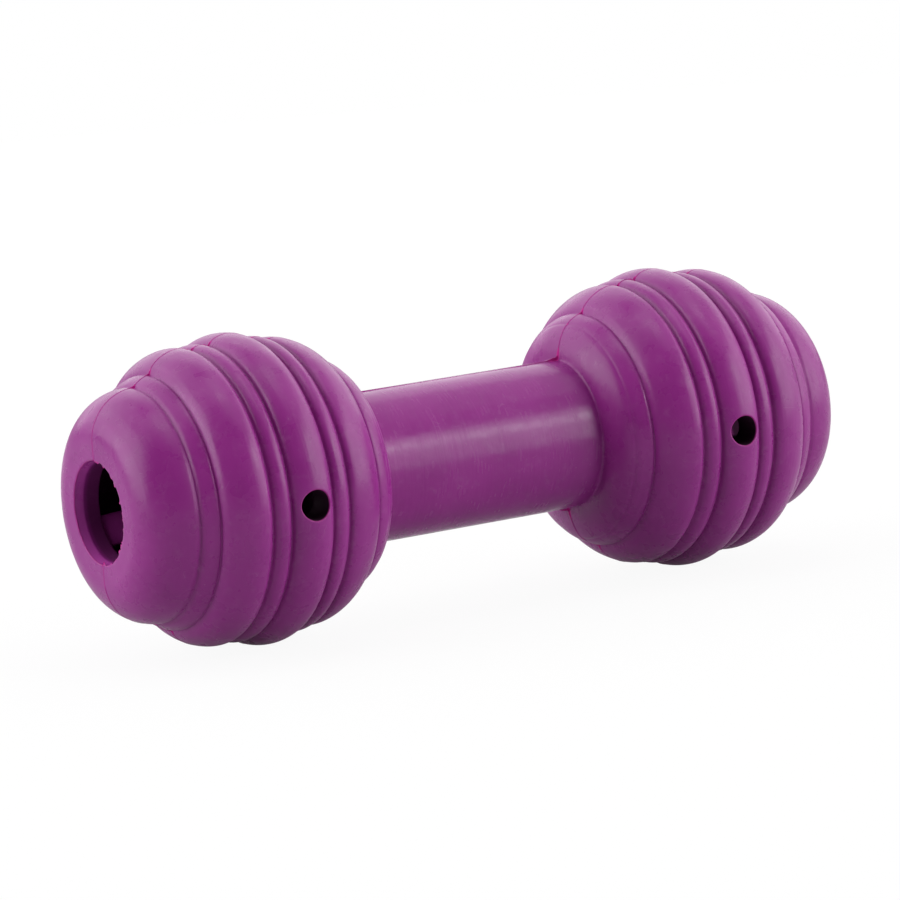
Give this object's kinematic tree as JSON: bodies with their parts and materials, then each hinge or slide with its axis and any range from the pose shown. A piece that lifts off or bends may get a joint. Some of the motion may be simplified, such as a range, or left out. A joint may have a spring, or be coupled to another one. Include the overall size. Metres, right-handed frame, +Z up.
{
  "type": "dog toy",
  "caption": "Bone-shaped rubber dog toy: hollow ribbed balls that hold treats, with open mouths, side holes and inner fingers, on a bar that holds a sliding noise maker.",
  "frame": {"origin": "on the floor under the middle of the bar, with the toy lying on its two balls", "axes": "+X along the bar to the right ball, +Y to the back, +Z up; the mould seam is the XZ plane"},
  "size_m": [0.1964, 0.075, 0.075],
  "materials": {
    "body_rubber": "matte natural rubber, purple, moulded",
    "finger_rubber": "matte natural rubber, purple, moulded",
    "clear_plastic": "smooth",
    "white_plastic": "satin",
    "pad_rubber": "soft foam rubber",
    "slider_plastic": "satin",
    "steel": "plain",
    "reed_plastic": "smooth",
    "brass": "thin sheet"
  },
  "bodies": {
    "toy_body": {"front_half_shell": "body_rubber", "rear_half_shell": "body_rubber", "sounder_tube": "clear_plastic", "left_sounder_cap": "white_plastic", "right_sounder_cap": "white_plastic", "left_bumper_pad": "pad_rubber", "right_bumper_pad": "pad_rubber"},
    "slider": {"slider_body": "slider_plastic", "slider_weight": "steel", "left_reed_plate": "reed_plastic", "right_reed_plate": "reed_plastic", "left_reed_tongue": "brass", "right_reed_tongue": "brass", "left_reed_clamp": "reed_plastic", "right_reed_clamp": "reed_plastic"},
    "left_finger_1": {"left_treat_finger_1": "finger_rubber"},
    "left_finger_2": {"left_treat_finger_2": "finger_rubber"},
    "left_finger_3": {"left_treat_finger_3": "finger_rubber"},
    "right_finger_1": {"right_treat_finger_1": "finger_rubber"},
    "right_finger_2": {"right_treat_finger_2": "finger_rubber"},
    "right_finger_3": {"right_treat_finger_3": "finger_rubber"}
  },
  "joints": [
    {"name": "slider_travel", "type": "slide", "parent": "toy_body", "child": "slider", "axis": [1, 0, 0], "range_m": [0, 0.032]},
    {"name": "left_finger_1_bend", "type": "hinge", "parent": "toy_body", "child": "left_finger_1", "pos_m": [-0.0913, 0, 0.05142], "axis": [0, 1, 0], "range_deg": [-25, 25], "stiffness_Nm_per_rad": 0.01},
    {"name": "left_finger_2_bend", "type": "hinge", "parent": "toy_body", "child": "left_finger_2", "pos_m": [-0.0913, -0.01204, 0.03057], "axis": [0, -0.5, 0.866], "range_deg": [-25, 25], "stiffness_Nm_per_rad": 0.01},
    {"name": "left_finger_3_bend", "type": "hinge", "parent": "toy_body", "child": "left_finger_3", "pos_m": [-0.0913, 0.01204, 0.03057], "axis": [0, -0.5, -0.866], "range_deg": [-25, 25], "stiffness_Nm_per_rad": 0.01},
    {"name": "right_finger_1_bend", "type": "hinge", "parent": "toy_body", "child": "right_finger_1", "pos_m": [0.0913, 0, 0.05142], "axis": [0, -1, 0], "range_deg": [-25, 25], "stiffness_Nm_per_rad": 0.01},
    {"name": "right_finger_2_bend", "type": "hinge", "parent": "toy_body", "child": "right_finger_2", "pos_m": [0.0913, -0.01204, 0.03057], "axis": [0, 0.5, -0.866], "range_deg": [-25, 25], "stiffness_Nm_per_rad": 0.01},
    {"name": "right_finger_3_bend", "type": "hinge", "parent": "toy_body", "child": "right_finger_3", "pos_m": [0.0913, 0.01204, 0.03057], "axis": [0, 0.5, 0.866], "range_deg": [-25, 25], "stiffness_Nm_per_rad": 0.01}
  ]
}
